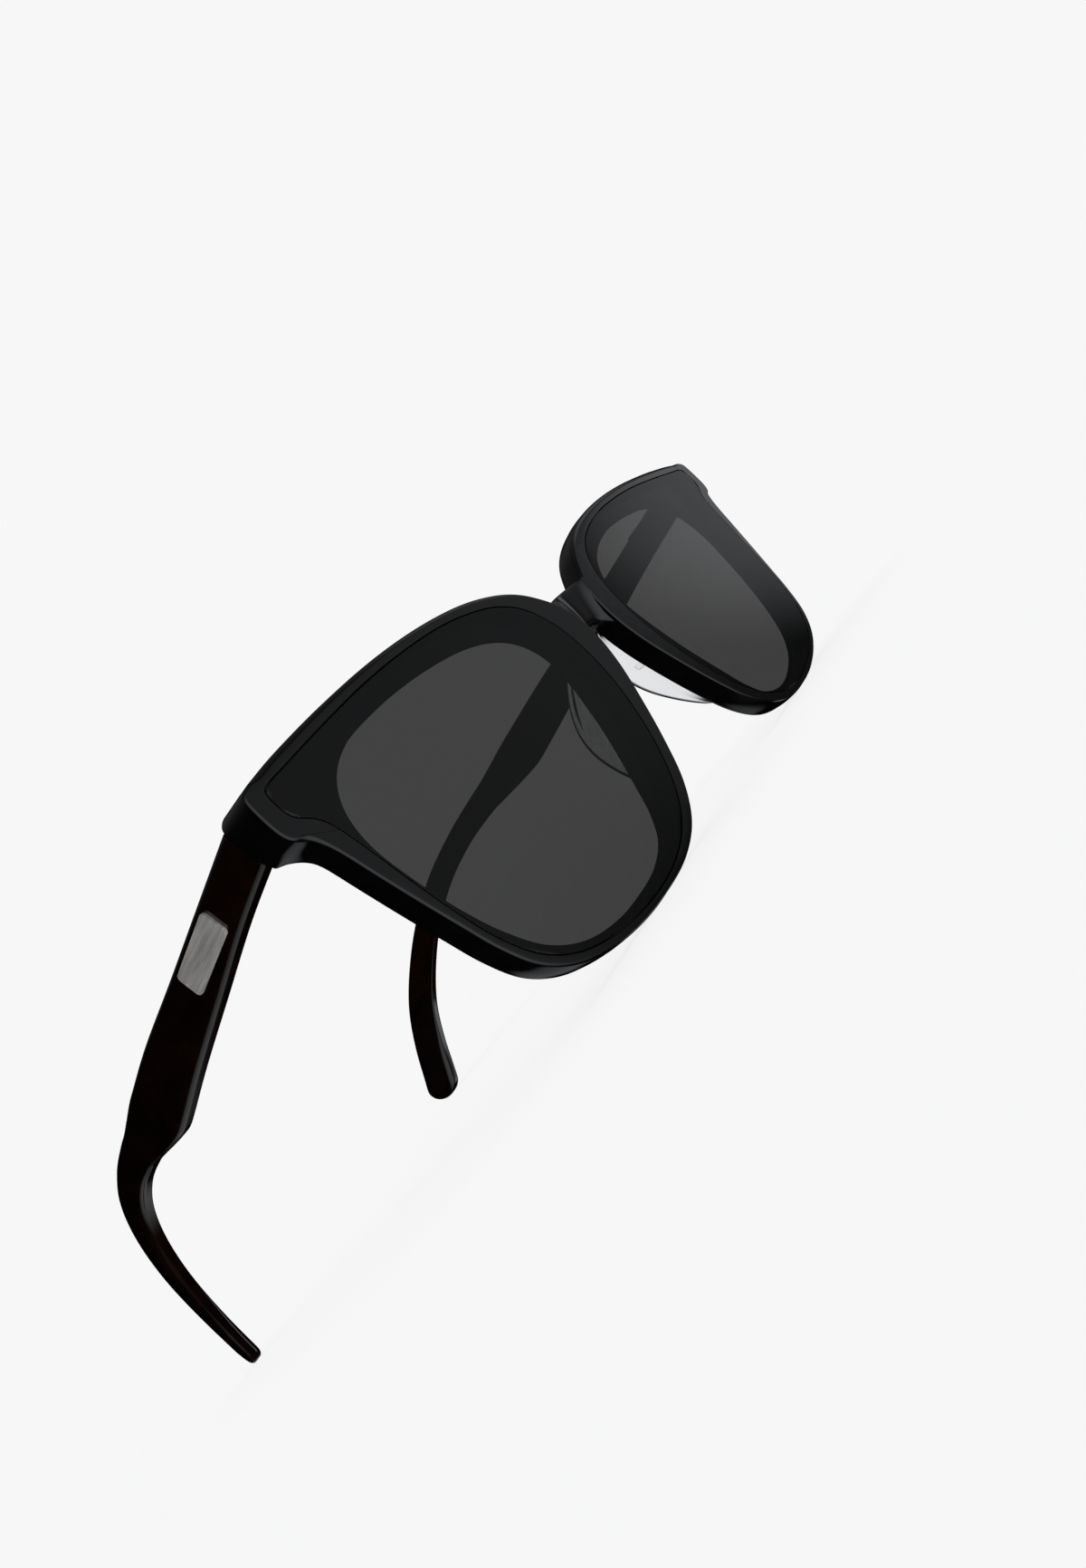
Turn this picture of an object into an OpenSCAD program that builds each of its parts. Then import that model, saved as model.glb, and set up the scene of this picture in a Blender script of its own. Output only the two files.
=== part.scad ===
// Square sunglasses with a thick one-piece front, flush flat lenses and hinged temples.
// They stand with the temples open, on the bottoms of the rims and on the temple tips.
// The front faces -Y, +X is the wearer's left and the middle of the frame is at x = 0.

/* [Front] */
// Width over the two endpieces
front_w = 139.8; // [134:0.2:146]
// Height of a rim, from its top edge to its bottom edge
rim_h = 44.2; // [41:0.2:47]
// Depth of the rims from front to back
rim_t = 4.0; // [3.6:0.1:4.6]
// Gap between the two rims where they come closest
nose_w = 7.0; // [5.6:0.2:9]
// Angle by which each rim sweeps back from the bridge, in degrees
wrap_angle = 3; // [1:0.5:5]
// Angle by which the top of the front leans forward, in degrees
lean_angle = 6; // [3:0.5:8]
// Width of the bevel round the front edge
bevel_w = 0.8; // [0.4:0.1:1]
// Depth of the bevel round the front edge
bevel_d = 0.7; // [0.3:0.1:0.9]
// Depth of the small bevel round the back edge
back_bevel = 0.3; // [0.1:0.1:0.5]

/* [Lenses] */
// Thickness of a lens
lens_t = 2.0; // [1.6:0.1:2.2]
// Gap all round a lens, the dark joint line
joint_gap = 0.12; // [0.05:0.01:0.2]
// Border of the front beside the lens, on the nose side
border_nose = 4.9; // [4.3:0.1:5.5]
// Border of the front beside the lens, at the endpiece
border_end = 2.7; // [2.4:0.1:3.2]
// Border of the front above the lens
border_top = 1.5; // [1.2:0.1:2]
// Border of the front below the lens
border_low = 1.0; // [0.9:0.1:1.5]
// Ledge behind the lens on the nose side
ledge_nose = 5.0; // [4.5:0.1:5.6]
// Ledge behind the lens at the endpiece, measured to the widest point of the opening
ledge_end = 6.9; // [6.3:0.1:7.5]
// Ledge behind the lens at the top
ledge_top = 2.7; // [2.2:0.1:3.2]
// Ledge behind the lens at the bottom
ledge_low = 1.3; // [1.1:0.1:1.8]
// Distance by which the opening widens towards the nose, from its front to its back
flare_nose = 2.4; // [1.6:0.1:2.8]
// Distance by which the opening widens at the bottom, from its front to its back
flare_low = 0.3; // [0.1:0.1:0.5]

/* [Bridge] */
// Height of the bridge in its middle
bridge_h = 6.2; // [5:0.2:7.4]
// Depth of the bridge from front to back
bridge_t = 3.3; // [3:0.1:4]
// Distance by which the bridge lies behind the front faces
bridge_back = 0.8; // [0.4:0.1:1.4]
// Distance of the bridge's top edge below the rims' top edges
bridge_drop = 8.2; // [7.6:0.2:9]

/* [Nose pads] */
// Length of a pad, measured up and down
pad_l = 20; // [17:0.5:22]
// Distance that a pad stands out behind the front
pad_d = 5.6; // [4.4:0.2:6.4]
// Thickness of a pad at its root
pad_root = 2.6; // [2:0.1:3]
// Thickness of a pad at its free edge
pad_edge = 1.2; // [0.9:0.1:1.6]
// Outward lean of a pad, in degrees
pad_splay = 24; // [15:1:32]
// Diameter of the locating peg in a pad
peg_d = 1.0; // [0.8:0.1:1.2]
// Length of the locating peg
peg_l = 3.0; // [2.4:0.1:3.4]

/* [Temples] */
// Depth of an endpiece behind the front face, to the butt joint
endpiece_d = 6.6; // [6.2:0.1:7.2]
// Distance by which the side of an endpiece tapers in towards the butt joint
end_taper = 0.7; // [0.3:0.1:0.9]
// Distance by which the endpiece stands out past the temple's outer face
temple_step = 1.0; // [0.6:0.1:1.4]
// Thickness of a temple at the hinge
temple_t = 3.6; // [3.4:0.1:4.2]
// Thickness of a temple at its tip
tip_t = 2.9; // [2.6:0.1:3.4]
// Distance from the butt joint to the end of the top edge, along the glasses
temple_reach = 129.4; // [118:0.2:140]
// Height of a temple at the hinge
temple_h = 5.2; // [5:0.1:5.8]
// Height of a temple where it is widest, before the step in its lower edge
wide_h = 7.9; // [7.2:0.1:8.8]
// Height of a temple at its narrow neck
neck_h = 3.9; // [3.4:0.1:4.6]
// Width of the rounded tip
tip_h = 5.2; // [4.6:0.1:6.4]
// Angle of the tip below the level, in degrees
tip_angle = 56; // [48:1:62]
// Straight inward run of a temple over its length
toe_line = 15.5; // [12:0.5:18]
// Extra inward curl of a temple at its tip
toe_curl = 15; // [10:0.5:18]
// Gap at the butt joint
butt_gap = 0.1; // [0.05:0.01:0.2]
// Width of the core wire, measured up and down
wire_h = 1.6; // [1.2:0.1:1.8]
// Thickness of the core wire
wire_t = 1.0; // [0.8:0.1:1.2]

/* [Hinges] */
// Diameter of the hinge knuckles
knuckle_d = 3.0; // [2.8:0.1:3.2]
// Height of one hinge knuckle, of five
knuckle_h = 0.9; // [0.84:0.01:0.92]
// Gap between two hinge knuckles
knuckle_gap = 0.05; // [0.03:0.01:0.08]
// Diameter of the hinge screw
screw_d = 1.4; // [1.2:0.1:1.5]
// Clearance of the hinge screw in its bores, on the radius
screw_fit = 0.03; // [0.02:0.01:0.06]
// Diameter of the screw's head
head_d = 2.2; // [2:0.1:2.3]
// Height of the screw's head
head_h = 0.5; // [0.4:0.05:0.6]
// Length of the temple's hinge leaf
leaf_l = 7.4; // [6.8:0.1:8.4]
// Thickness of the hinge leaves
leaf_t = 1.2; // [1:0.1:1.4]
// Diameter of the rivets in the temple's hinge leaf
rivet_d = 1.1; // [0.9:0.1:1.3]

/* [Plaques] */
// Length of the plain plaque on each temple
plaque_l = 13.4; // [10:0.2:15]
// Height of the plaque
plaque_h = 3.6; // [3:0.1:4.2]
// Height by which the plaque stands proud of the temple
plaque_proud = 0.35; // [0.2:0.05:0.5]
// Depth by which the plaque is let into the temple
plaque_sunk = 0.4; // [0.3:0.05:0.6]
// Distance from the butt joint to the plaque
plaque_start = 12.2; // [11.4:0.2:14]

/* [Hidden] */

acetate = [0.045, 0.043, 0.045];
temple_brown = [0.07, 0.045, 0.042];
tint = [0.16, 0.17, 0.17, 0.75];
clear_pad = [0.86, 0.87, 0.9, 0.45];
steel = [0.72, 0.72, 0.74];
silver = [0.82, 0.8, 0.79];

overrun = 1;            // how far a cut runs past a face
seat_gap = 0.03;        // gap round a piece that is let into another
small_fn = 32;          // facets of small round pieces
curve_steps = 3;        // points on each stretch of an outline
half_w = front_w / 2;
rim_w = half_w - nose_w / 2;

// Outline of a rim seen from the front: [across, up] as shares of rim_w and rim_h.
// It runs from the nose over the top to the endpiece, and back along the bottom.
wing_top_share = -0.070;
wing_low_share = -0.230;
rim_shares = [
    [0.010, -0.230], [0.056, -0.145], [0.107, -0.090], [0.181, -0.048], [0.279, -0.018],
    [0.413, -0.001], [0.566, 0.000], [0.729, -0.015], [0.867, -0.037], [0.947, -0.056],
    [0.986, wing_top_share], [1.000, -0.094], [1.000, -0.190], [0.988, wing_low_share],
    [0.966, -0.248], [0.951, -0.280], [0.939, -0.325], [0.924, -0.408], [0.903, -0.520],
    [0.880, -0.634], [0.855, -0.748], [0.818, -0.846], [0.753, -0.920], [0.662, -0.968],
    [0.551, -0.995], [0.430, -0.999], [0.331, -0.984], [0.243, -0.939], [0.168, -0.851],
    [0.111, -0.733], [0.061, -0.602], [0.020, -0.473], [0.000, -0.348]
];
// Outline of a lens, as shares of lens_w and lens_h
lens_shares = [
    [0.008, -0.245], [0.046, -0.140], [0.110, -0.074], [0.198, -0.034], [0.318, -0.008],
    [0.465, 0.000], [0.616, -0.006], [0.769, -0.025], [0.905, -0.047], [0.982, -0.061],
    [1.000, -0.083], [1.000, -0.142], [0.988, -0.172], [0.962, -0.200], [0.943, -0.247],
    [0.930, -0.330], [0.915, -0.455], [0.896, -0.592], [0.870, -0.722], [0.827, -0.833],
    [0.758, -0.912], [0.663, -0.963], [0.547, -0.992], [0.425, -1.000], [0.317, -0.982],
    [0.225, -0.936], [0.148, -0.853], [0.087, -0.742], [0.043, -0.623], [0.013, -0.500],
    [0.000, -0.370]
];
// Outline of the opening behind a lens, as shares of open_w and open_h
open_shares = [
    [0.000, -0.290], [0.008, -0.215], [0.036, -0.150], [0.080, -0.100], [0.145, -0.060],
    [0.240, -0.028], [0.350, -0.010], [0.490, 0.000], [0.640, -0.004], [0.790, -0.026],
    [0.905, -0.082], [0.975, -0.175], [1.000, -0.300], [0.985, -0.450], [0.952, -0.610],
    [0.905, -0.750], [0.838, -0.868], [0.735, -0.950], [0.600, -0.992], [0.470, -1.000],
    [0.350, -0.991], [0.250, -0.948], [0.186, -0.868], [0.142, -0.770], [0.105, -0.680],
    [0.072, -0.595], [0.043, -0.500], [0.015, -0.390]
];
lens_w = rim_w - border_nose - border_end;
lens_h = rim_h - border_top - border_low;
open_w = lens_w - ledge_nose - ledge_end;
open_h = lens_h - ledge_top - ledge_low;

// A smooth stretch between b and c, and the points of a closed or an open curve.
function between(a, b, c, d, t) =
    0.5 * (2 * b + (c - a) * t + (2 * a - 5 * b + 4 * c - d) * t * t + (3 * b - a - 3 * c + d) * t * t * t);
function closed_curve(p, steps) = let (n = len(p)) [
    for (i = [0 : n - 1]) for (k = [0 : steps - 1])
        between(p[(i + n - 1) % n], p[i], p[(i + 1) % n], p[(i + 2) % n], k / steps)
];
function open_curve(p, steps) = let (n = len(p), first = 2 * p[0] - p[1], last = 2 * p[n - 1] - p[n - 2]) [
    for (i = [0 : n - 2]) for (k = [0 : steps - 1])
        between(i == 0 ? first : p[i - 1], p[i], p[i + 1], i == n - 2 ? last : p[i + 2], k / steps),
    p[n - 1]
];
// The outline moved inward by d, each point along its own normal.
function inset(p, d) = let (n = len(p)) [
    for (i = [0 : n - 1])
        let (run = p[(i + 1) % n] - p[(i + n - 1) % n])
        p[i] + d * [run[1], -run[0]] / norm(run)
];
function scaled(shares, w, h, x0, y0) = [for (s = shares) [x0 + s[0] * w, y0 + s[1] * h]];

rim_line = closed_curve(scaled(rim_shares, rim_w, rim_h, nose_w / 2, 0), curve_steps);
lens_hole = closed_curve(
    scaled(lens_shares, lens_w, lens_h, nose_w / 2 + border_nose, -border_top), curve_steps);
lens_line = inset(lens_hole, joint_gap);
open_line = closed_curve(
    scaled(open_shares, open_w, open_h, nose_w / 2 + border_nose + ledge_nose, -border_top - ledge_top),
    curve_steps);
flare_line = closed_curve(
    scaled(open_shares, open_w + flare_nose, open_h + flare_low,
        nose_w / 2 + border_nose + ledge_nose - flare_nose, -border_top - ledge_top), curve_steps);

// Place of a point of a rim once the rim is swept back and the front leans forward.
function placed(u, y, w) =
    let (back = u * sin(wrap_angle) + y * cos(wrap_angle))
    [u * cos(wrap_angle) - y * sin(wrap_angle),
     back * cos(lean_angle) - w * sin(lean_angle),
     back * sin(lean_angle) + w * cos(lean_angle)];
front_ring = inset(rim_line, bevel_w);
rest_z = -min([for (p = rim_line) placed(p[0], bevel_d, p[1])[2]]);
front_y = min([for (p = front_ring) placed(p[0], 0, p[1])[1]]);

// Temple, in the plane through its length: where it starts, and its top edge.
wing_top = placed(half_w, endpiece_d, wing_top_share * rim_h);
wing_low = placed(half_w, endpiece_d, wing_low_share * rim_h);
butt_y = placed(half_w, 0, wing_top_share * rim_h)[1] + endpiece_d;
temple_x = half_w - temple_step;
temple_y = butt_y + butt_gap;
temple_top_inset = 0.8;
temple_z = wing_top[2] + rest_z - temple_top_inset;
tip_end = [temple_y + temple_reach, tip_h / 2 * (1 + cos(tip_angle))];
// Rows along the top edge: share of the reach, share of the rise above the end,
// which pair of heights holds there (0 hinge to wide, 1 wide to neck, 2 neck to tip), and their mix.
temple_shares = [
    [0.000, 1.000, 0, 0.00], [0.100, 0.979, 0, 0.04], [0.220, 0.955, 0, 0.30], [0.340, 0.937, 0, 0.70],
    [0.430, 0.914, 0, 0.98], [0.465, 0.902, 1, 0.02], [0.500, 0.884, 1, 0.26], [0.535, 0.867, 1, 0.56],
    [0.570, 0.856, 1, 0.78], [0.640, 0.828, 1, 0.97], [0.715, 0.776, 2, 0.00], [0.785, 0.684, 2, 0.08],
    [0.850, 0.558, 2, 0.28], [0.910, 0.400, 2, 0.55], [0.958, 0.212, 2, 0.80], [1.000, 0.000, 2, 1.00]
];
heights = [temple_h, wide_h, neck_h, tip_h];
top_line = open_curve([
    for (r = temple_shares)
        [temple_y + r[0] * temple_reach, tip_end[1] + r[1] * (temple_z - tip_end[1]),
         heights[r[2]] + r[3] * (heights[r[2] + 1] - heights[r[2]])]
], curve_steps);
top_n = len(top_line);
middle_share = 0.5;     // half way between the two edges
// Unit vector square to the top edge, pointing up; it ends square to the tip.
function top_normal(i) =
    let (a = top_line[max(i - 1, 0)], b = top_line[min(i + 1, top_n - 1)], run = [b[0] - a[0], b[1] - a[1]])
    i == 0 ? [0, 1] : i == top_n - 1 ? [sin(tip_angle), cos(tip_angle)] : [-run[1], run[0]] / norm(run);
function below_top(i, share) =
    [top_line[i][0], top_line[i][1]] - share * top_line[i][2] * top_normal(i);
tip_middle = below_top(top_n - 1, middle_share);
tip_steps = 8;
tip_arc = [for (k = [1 : tip_steps - 1]) let (a = 90 - tip_angle - k * 180 / tip_steps)
    tip_middle + tip_h / 2 * [cos(a), sin(a)]];
side_line = concat(
    [for (i = [0 : top_n - 1]) below_top(i, 0)], tip_arc, [for (i = [top_n - 1 : -1 : 0]) below_top(i, 1)]);
back_y = tip_middle[0] + tip_h / 2;
mid_y = (front_y + back_y) / 2;

// Plan of a temple: x of its outer face and its thickness, s as a share of the reach.
function face_x(s) = temple_x - toe_line * s - toe_curl * s * s * s;
function thick(s) = temple_t + (tip_t - temple_t) * s;
plan_steps = 26;
plan_past_share = 1.06; // the plan runs past the tip, as a share of the reach
function plan_s(k, from, to) = from + (to - from) * k / plan_steps;
// Closed band in plan between two depths below the outer face, written as functions of s
function band(from, to, share_a, share_b, add_a, add_b) = concat(
    [for (k = [0 : plan_steps]) let (s = plan_s(k, from, to))
        [face_x(s) - share_a * thick(s) - add_a, temple_y + s * temple_reach]],
    [for (k = [plan_steps : -1 : 0]) let (s = plan_s(k, from, to))
        [face_x(s) - share_b * thick(s) - add_b, temple_y + s * temple_reach]]);

// Hinge: the screw's axis stands upright just inside the temple's inner face.
axis_in = 1.0;
axis_x = temple_x - temple_t - axis_in;
axis_y = temple_y;
hinge_h = 5 * knuckle_h + 4 * knuckle_gap;
hinge_z = temple_z - temple_h / 2 - hinge_h / 2;
knuckle_r = knuckle_d / 2;
knuckle_step = knuckle_h + knuckle_gap;
screw_r = screw_d / 2;
bore_r = screw_r + screw_fit;
relief_gap = 0.2;       // room round the knuckles
relief_r = knuckle_r + relief_gap;
tang_w = 2.0;           // width of the tang that holds the front leaf in the endpiece
tang_d = 2.1;           // length of the tang in front of the knuckles
tang_y = axis_y - relief_r;
stem_l = 1.9;           // length of the stems from the temple's knuckles to its leaf
leaf_sunk = 0.5;        // depth by which the temple's leaf is let in
leaf_h = hinge_h - knuckle_h / 2;
rivet_shares = [0.36, 0.78];    // places of the rivets along the leaf
rivet_proud = 0.25;     // height of a rivet above the leaf
rivet_head = leaf_t - leaf_sunk + rivet_proud;
rivet_l = rivet_head + temple_t / 2;
endpiece_in = 0.6;      // distance from the room round the knuckles to the endpiece's inner face

// The front as it leans and stands in the whole, the left rim swept back, and the temples' place
module in_front() translate([0, -mid_y, rest_z]) rotate([lean_angle, 0, 0]) children();
module left_rim() rotate([0, 0, wrap_angle]) children();
module standing() translate([0, -mid_y, 0]) children();
module mirrored(side) {
    if (side > 0) children();
    else mirror([1, 0, 0]) children();
}
// A flat outline, seen from the front, run back from y by depth
module run_back(y, depth) translate([0, y + depth, 0]) rotate([90, 0, 0]) linear_extrude(depth) children();
// A flat outline in the y-z plane, run along x
module run_across(x, width) translate([x, 0, 0]) rotate([90, 0, 90]) linear_extrude(width) children();

// A solid through rings of equal numbers of points, closed by flat ends
module loft(rings) {
    n = len(rings[0]);
    m = len(rings);
    points = [for (r = rings) for (p = r) p];
    sides = [for (j = [0 : m - 2]) for (i = [0 : n - 1]) let (k = (i + 1) % n)
        each [[j * n + i, j * n + k, (j + 1) * n + k], [j * n + i, (j + 1) * n + k, (j + 1) * n + i]]];
    polyhedron(points, concat(sides, [[for (i = [n - 1 : -1 : 0]) i], [for (i = [0 : n - 1]) (m - 1) * n + i]]));
}
function ring_at(line, y) = [for (p = line) [p[0], y, p[1]]];

// A closed band of solid through rings that each run round the middle of a lens, the last back to the first.
// Neighbouring rings are joined by triangles in the order of their points' angles round that middle.
rim_mid = [nose_w / 2 + rim_w / 2, -rim_h / 2];
function turns(ring) =
    let (a = [for (p = ring) 180 - atan2(p[2] - rim_mid[1], p[0] - rim_mid[0])])
    [for (x = a) x < a[0] ? x + 360 : x, a[0] + 360];
function joined(ta, tb, from_a, from_b) = let (na = len(ta) - 1, nb = len(tb) - 1) [
    for (i = 0, j = 0; i + j < na + nb;
        on_a = j == nb || (i < na && ta[i + 1] <= tb[j + 1]), i = on_a ? i + 1 : i, j = on_a ? j : j + 1)
        (j == nb || (i < na && ta[i + 1] <= tb[j + 1]))
            ? [from_a + i % na, from_a + (i + 1) % na, from_b + j % nb]
            : [from_a + i % na, from_b + (j + 1) % nb, from_b + j % nb]
];
module closed_loft(rings) {
    m = len(rings);
    turn = [for (r = rings) turns(r)];
    starts = [for (k = 0, s = 0; k < m; s = s + len(rings[k]), k = k + 1) s];
    polyhedron([for (r = rings) for (p = r) p],
        [for (k = [0 : m - 1]) let (l = (k + 1) % m) each joined(turn[k], turn[l], starts[k], starts[l])]);
}
module rim_blank() closed_loft([
    ring_at(inset(rim_line, back_bevel), rim_t), ring_at(rim_line, rim_t - back_bevel),
    ring_at(rim_line, bevel_d), ring_at(front_ring, 0),
    ring_at(lens_hole, 0), ring_at(lens_hole, lens_t), ring_at(open_line, lens_t), ring_at(flare_line, rim_t)
]);

// Bridge: its upper edge falls a little towards the rims, and its lower edge arches between them
bridge_reach = nose_w / 2 + border_nose / 2;
bridge_fall = 0.4;
bridge_arch = 2.0;
bridge_line = concat(
    open_curve([[-bridge_reach, -bridge_fall], [-bridge_reach / 2, -bridge_fall / 4], [0, 0],
        [bridge_reach / 2, -bridge_fall / 4], [bridge_reach, -bridge_fall]], curve_steps),
    open_curve([[bridge_reach, -bridge_h - bridge_arch], [bridge_reach / 2, -bridge_h - bridge_arch / 4],
        [0, -bridge_h], [-bridge_reach / 2, -bridge_h - bridge_arch / 4],
        [-bridge_reach, -bridge_h - bridge_arch]], curve_steps));
module bridge() translate([0, 0, -bridge_drop]) run_back(bridge_back, bridge_t) polygon(bridge_line);

// Endpiece: the block behind the wing of the rim, from behind the lens up to the butt joint
endpiece_x = axis_x + relief_r + endpiece_in;
end_inset = 0.15;       // keeps the block just inside the rim's own side
module endpiece() {
    low = wing_low[2] + rest_z;
    top = wing_top[2] + rest_z;
    start = placed(half_w, lens_t, wing_low_share * rim_h)[1];
    translate([0, 0, low]) linear_extrude(top - low) polygon([
        [endpiece_x, start], [half_w - end_inset, start], [half_w - end_taper, butt_y], [endpiece_x, butt_y]]);
}

module left_front_half() {
    difference() {
        union() {
            in_front() left_rim() rim_blank();
            standing() endpiece();
        }
        in_front() left_rim() pad_peg(seat_gap);
        standing() hinge_tang(seat_gap);
    }
}
module front_frame() color(acetate) {
    left_front_half();
    mirror([1, 0, 0]) left_front_half();
    in_front() bridge();
}

module lens(side) color(tint) mirrored(side) in_front() left_rim() run_back(0, lens_t) polygon(lens_line);

// Nose pad: rows down its length, each a four-sided section from root to free edge
pad_top_share = 0.34;
pad_top = -pad_top_share * rim_h;
pad_rows = 14;
pad_skew = 0.88;        // moves the deepest place of a pad up along it
pad_in = 0.6;           // distance of the pad's root from the rim's edge
pad_end_share = 0.16;   // depth of the pad at its ends, as a share of pad_d
function rim_nose_u(w) =
    let (near = [for (p = rim_line) if (p[0] < nose_w / 2 + rim_w / 3) p])
    lookup(w, [for (i = [len(near) - 1 : -1 : 0]) [near[i][1], near[i][0]]]);
function pad_row(k) =
    let (s = k / pad_rows, w = pad_top - s * pad_l,
         deep = pad_d * (pad_end_share + (1 - pad_end_share) * sin(180 * pow(s, pad_skew))),
         u = rim_nose_u(w) + pad_in, lean = deep * tan(pad_splay))
    [[u, rim_t, w], [u + pad_root, rim_t, w],
     [u + lean + pad_edge, rim_t + deep, w], [u + lean, rim_t + deep, w]];
// Peg between the rim and the pad, half its length in each
peg_place_share = 0.4;
peg_w = pad_top - peg_place_share * pad_l;
module pad_peg(gap) translate([rim_nose_u(peg_w) + pad_in + pad_root / 2, rim_t + peg_l / 2 + gap, peg_w])
    rotate([90, 0, 0]) cylinder(h = peg_l + 2 * gap, r = peg_d / 2 + gap, $fn = small_fn);
module nose_pad(side) color(clear_pad) mirrored(side) in_front() left_rim() difference() {
    loft([for (k = [0 : pad_rows]) pad_row(k)]);
    pad_peg(seat_gap);
}
module pad_peg_piece(side) color(steel) mirrored(side) in_front() left_rim() pad_peg(0);

module knuckle(k) translate([axis_x, axis_y, hinge_z + k * knuckle_step])
    cylinder(h = knuckle_h, r = knuckle_r, $fn = small_fn);
module hinge_tang(gap) translate([axis_x - tang_w / 2 - gap, tang_y - tang_d - gap, hinge_z - gap])
    cube([tang_w + 2 * gap, tang_d + gap, hinge_h + 2 * gap]);
module hinge_bore() translate([axis_x, axis_y, hinge_z - overrun])
    cylinder(h = hinge_h + 2 * overrun, r = bore_r, $fn = small_fn);

module front_hinge(side) color(steel) mirrored(side) standing() difference() {
    union() {
        hinge_tang(0);
        for (k = [0, 2, 4]) {
            knuckle(k);
            translate([axis_x - tang_w / 2, tang_y, hinge_z + k * knuckle_step])
                cube([tang_w, axis_y - tang_y, knuckle_h]);
        }
    }
    hinge_bore();
    translate([axis_x, axis_y, hinge_z + hinge_h - head_h - seat_gap])
        cylinder(h = head_h + overrun, r = head_d / 2 + screw_fit, $fn = small_fn);
}

module temple_hinge(side) color(steel) mirrored(side) standing() difference() {
    union() {
        leaf(0);
        for (k = [1, 3]) {
            knuckle(k);
            along_temple() translate([-axis_in, 0, k * knuckle_step - hinge_h / 2])
                cube([axis_in, stem_l + leaf_t, knuckle_h]);
        }
    }
    hinge_bore();
    rivets(seat_gap);
}
// The leaf lies along the temple's inner face, which runs inward at its start by toe_line.
module along_temple() translate([temple_x - temple_t, temple_y, hinge_z + hinge_h / 2])
    rotate([0, 0, atan(toe_line / temple_reach)]) children();
module leaf(gap) along_temple() translate([leaf_sunk - leaf_t - gap, stem_l - gap, -leaf_h / 2 - gap])
    cube([leaf_t + gap, leaf_l + 2 * gap, leaf_h + 2 * gap]);
module rivets(gap) along_temple() for (at = rivet_shares)
    translate([-rivet_head - gap, stem_l + at * leaf_l, 0]) rotate([0, 90, 0])
        cylinder(h = rivet_l + 2 * gap, r = rivet_d / 2 + gap, $fn = small_fn);

module hinge_screw(side) color(silver) mirrored(side) standing() translate([axis_x, axis_y, hinge_z])
    difference() {
        union() {
            cylinder(h = hinge_h - head_h, r = screw_r, $fn = small_fn);
            translate([0, 0, hinge_h - head_h]) cylinder(h = head_h, r = head_d / 2, $fn = small_fn);
        }
        slot_w = head_d / 6;
        slot_d = head_h / 2;
        translate([-head_d / 2 - overrun, -slot_w / 2, hinge_h - slot_d])
            cube([head_d + 2 * overrun, slot_w, slot_d + overrun]);
    }

module left_temple_blank() intersection() {
    run_across(0, front_w) polygon(side_line);
    linear_extrude(temple_z + overrun) polygon(band(0, plan_past_share, 0, 1, 0, 0));
}
module hinge_relief() translate([axis_x, axis_y, hinge_z - overrun])
    cylinder(h = hinge_h + 2 * overrun, r = relief_r, $fn = small_fn);
module temple(side) color(temple_brown) mirrored(side) standing() difference() {
    left_temple_blank();
    hinge_relief();
    leaf(seat_gap);
    rivets(seat_gap);
    core_wire(seat_gap);
    plaque(seat_gap);
}
module hinge_rivets(side) color(silver) mirrored(side) standing() rivets(0);

// Core wire: a flat wire half way through the temple, from behind the leaf to the tip
wire_from_share = 0.12;
wire_to_share = 0.95;
module core_wire(gap) intersection() {
    run_across(0, front_w) polygon(concat(
        [for (i = [0 : top_n - 1]) below_top(i, middle_share) + (wire_h / 2 + gap) * top_normal(i)],
        [for (i = [top_n - 1 : -1 : 0]) below_top(i, middle_share) - (wire_h / 2 + gap) * top_normal(i)]));
    linear_extrude(temple_z + overrun) polygon(band(
        wire_from_share - gap / temple_reach, wire_to_share + gap / temple_reach, middle_share, middle_share,
        -wire_t / 2 - gap, wire_t / 2 + gap));
}
module core_wire_piece(side) color(steel) mirrored(side) standing() core_wire(0);

// Plain plaque let into the temple's outer face, half way up the temple
plaque_r = plaque_h / 5;
plaque_y = temple_y + plaque_start + plaque_l / 2;
plaque_row = len([for (p = top_line) if (p[0] <= plaque_y) p]) - 1;
plaque_tilt = -atan2(top_normal(plaque_row)[0], top_normal(plaque_row)[1]);
plaque_mid = below_top(plaque_row, middle_share);
plaque_z = plaque_mid[1] + (plaque_y - plaque_mid[0]) * tan(plaque_tilt);
module rounded_box(w, h, r) {
    square([w - 2 * r, h], center = true);
    square([w, h - 2 * r], center = true);
    for (x = [-1, 1]) for (y = [-1, 1])
        translate([x * (w / 2 - r), y * (h / 2 - r)]) circle(r = r, $fn = small_fn);
}
module plaque(gap) intersection() {
    run_across(0, front_w) translate([plaque_y, plaque_z]) rotate(plaque_tilt)
        rounded_box(plaque_l + 2 * gap, plaque_h + 2 * gap, plaque_r + gap);
    linear_extrude(temple_z + overrun)
        polygon(band(0, plan_past_share / 2, 0, 0, -plaque_proud, plaque_sunk + gap));
}
module plaque_piece(side) color(silver) mirrored(side) standing() plaque(0);

front_frame();
lens(1);  // left_lens
lens(-1);  // right_lens
nose_pad(1);  // left_nose_pad
nose_pad(-1);  // right_nose_pad
front_hinge(1);  // left_front_hinge
front_hinge(-1);  // right_front_hinge
temple_hinge(1);  // left_temple_hinge
temple_hinge(-1);  // right_temple_hinge
hinge_screw(1);  // left_hinge_screw
hinge_screw(-1);  // right_hinge_screw
temple(1);  // left_temple
temple(-1);  // right_temple
pad_peg_piece(1);  // left_pad_peg
pad_peg_piece(-1);  // right_pad_peg
hinge_rivets(1);  // left_hinge_rivets
hinge_rivets(-1);  // right_hinge_rivets
core_wire_piece(1);  // left_core_wire
core_wire_piece(-1);  // right_core_wire
plaque_piece(1);  // left_plaque
plaque_piece(-1);  // right_plaque
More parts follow.
